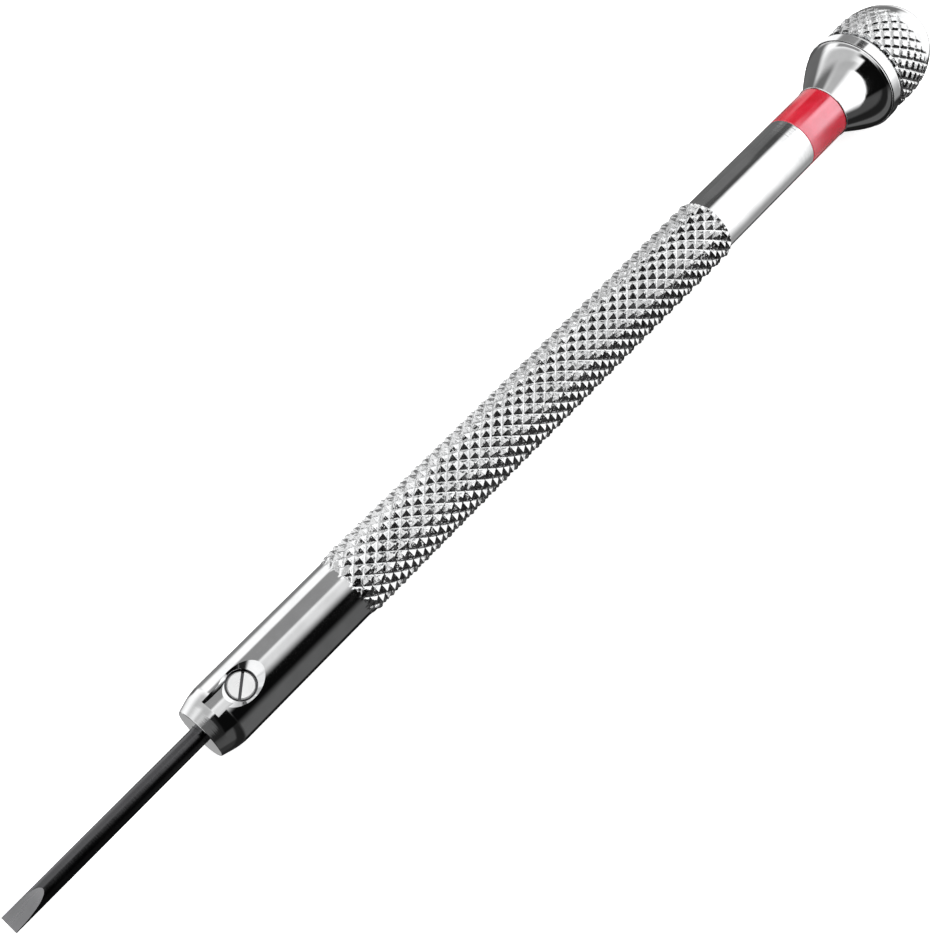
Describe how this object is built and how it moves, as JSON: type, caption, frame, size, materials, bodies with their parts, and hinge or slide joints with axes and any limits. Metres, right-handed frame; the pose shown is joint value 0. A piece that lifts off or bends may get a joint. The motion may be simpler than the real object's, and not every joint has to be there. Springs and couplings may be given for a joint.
{
  "type": "watchmaker screwdriver",
  "caption": "Slim watchmaker's screwdriver with a clamped slotted blade, diamond-knurled chrome grip, red size ring and a knurled finger cap that swivels on a ball bearing.",
  "frame": {"origin": "middle of the blade tip's flat end face, on the tool's axis", "axes": "+X runs along the tool's axis from the blade tip to the finger cap; +Z is the side that the set screw faces, and one blade flat faces +Z too"},
  "size_m": [0.0871, 0.0074, 0.0072],
  "materials": {
    "blade": "black oxide, with bright ground flats",
    "handle": "polished chrome plate",
    "set_screw": "fine turned steel",
    "colour_ring": "glossy red",
    "bell": "mirror chrome plate",
    "bearing_steel": "ground bearing steel",
    "bearing_balls": "lapped steel",
    "cage": "pressed brass",
    "shields": "rolled sheet",
    "cap": "polished chrome plate",
    "fasteners": "turned steel"
  },
  "bodies": {
    "handle": {"handle_body": "handle", "colour_ring": "colour_ring", "bell_housing": "bell", "bearing_outer_ring": "bearing_steel", "bearing_front_shield": "shields", "bearing_rear_shield": "shields"},
    "blade": {"blade": "blade"},
    "set_screw": {"set_screw": "set_screw"},
    "swivel_head": {"swivel_cap": "cap", "bearing_inner_ring": "bearing_steel", "retaining_washer": "fasteners", "retaining_screw": "fasteners"},
    "cage": {"ball_cage": "cage"},
    "ball_1": {"bearing_ball_1": "bearing_balls"},
    "ball_2": {"bearing_ball_2": "bearing_balls"},
    "ball_3": {"bearing_ball_3": "bearing_balls"},
    "ball_4": {"bearing_ball_4": "bearing_balls"},
    "ball_5": {"bearing_ball_5": "bearing_balls"},
    "ball_6": {"bearing_ball_6": "bearing_balls"},
    "ball_7": {"bearing_ball_7": "bearing_balls"},
    "ball_8": {"bearing_ball_8": "bearing_balls"}
  },
  "joints": [
    {"name": "blade_slide", "type": "slide", "parent": "handle", "child": "blade", "axis": [-1, 0, 0], "range_m": [0, 0.01]},
    {"name": "set_screw_turn", "type": "hinge", "parent": "handle", "child": "set_screw", "pos_m": [0.01775, 0, 0], "axis": [0, 0, 1], "range_deg": [0, 540]},
    {"name": "head_swivel", "type": "hinge", "parent": "handle", "child": "swivel_head", "pos_m": [0.07945, 0, 0], "axis": [1, 0, 0], "continuous": true},
    {"name": "cage_orbit", "type": "hinge", "parent": "handle", "child": "cage", "pos_m": [0.07945, 0, 0], "axis": [1, 0, 0], "continuous": true},
    {"name": "ball_1_roll", "type": "hinge", "parent": "cage", "child": "ball_1", "pos_m": [0.07945, 0.00175, 0], "axis": [1, 0, 0], "continuous": true},
    {"name": "ball_2_roll", "type": "hinge", "parent": "cage", "child": "ball_2", "pos_m": [0.07945, 0.00124, 0.00124], "axis": [1, 0, 0], "continuous": true},
    {"name": "ball_3_roll", "type": "hinge", "parent": "cage", "child": "ball_3", "pos_m": [0.07945, 0, 0.00175], "axis": [1, 0, 0], "continuous": true},
    {"name": "ball_4_roll", "type": "hinge", "parent": "cage", "child": "ball_4", "pos_m": [0.07945, -0.00124, 0.00124], "axis": [1, 0, 0], "continuous": true},
    {"name": "ball_5_roll", "type": "hinge", "parent": "cage", "child": "ball_5", "pos_m": [0.07945, -0.00175, 0], "axis": [1, 0, 0], "continuous": true},
    {"name": "ball_6_roll", "type": "hinge", "parent": "cage", "child": "ball_6", "pos_m": [0.07945, -0.00124, -0.00124], "axis": [1, 0, 0], "continuous": true},
    {"name": "ball_7_roll", "type": "hinge", "parent": "cage", "child": "ball_7", "pos_m": [0.07945, 0, -0.00175], "axis": [1, 0, 0], "continuous": true},
    {"name": "ball_8_roll", "type": "hinge", "parent": "cage", "child": "ball_8", "pos_m": [0.07945, 0.00124, -0.00124], "axis": [1, 0, 0], "continuous": true}
  ],
  "couplings": [
    {"joint": "cage_orbit", "follows": "head_swivel", "ratio": 0.38857},
    {"joint": "ball_1_roll", "follows": "head_swivel", "ratio": -2.1322},
    {"joint": "ball_2_roll", "follows": "head_swivel", "ratio": -2.1322},
    {"joint": "ball_3_roll", "follows": "head_swivel", "ratio": -2.1322},
    {"joint": "ball_4_roll", "follows": "head_swivel", "ratio": -2.1322},
    {"joint": "ball_5_roll", "follows": "head_swivel", "ratio": -2.1322},
    {"joint": "ball_6_roll", "follows": "head_swivel", "ratio": -2.1322},
    {"joint": "ball_7_roll", "follows": "head_swivel", "ratio": -2.1322},
    {"joint": "ball_8_roll", "follows": "head_swivel", "ratio": -2.1322}
  ]
}
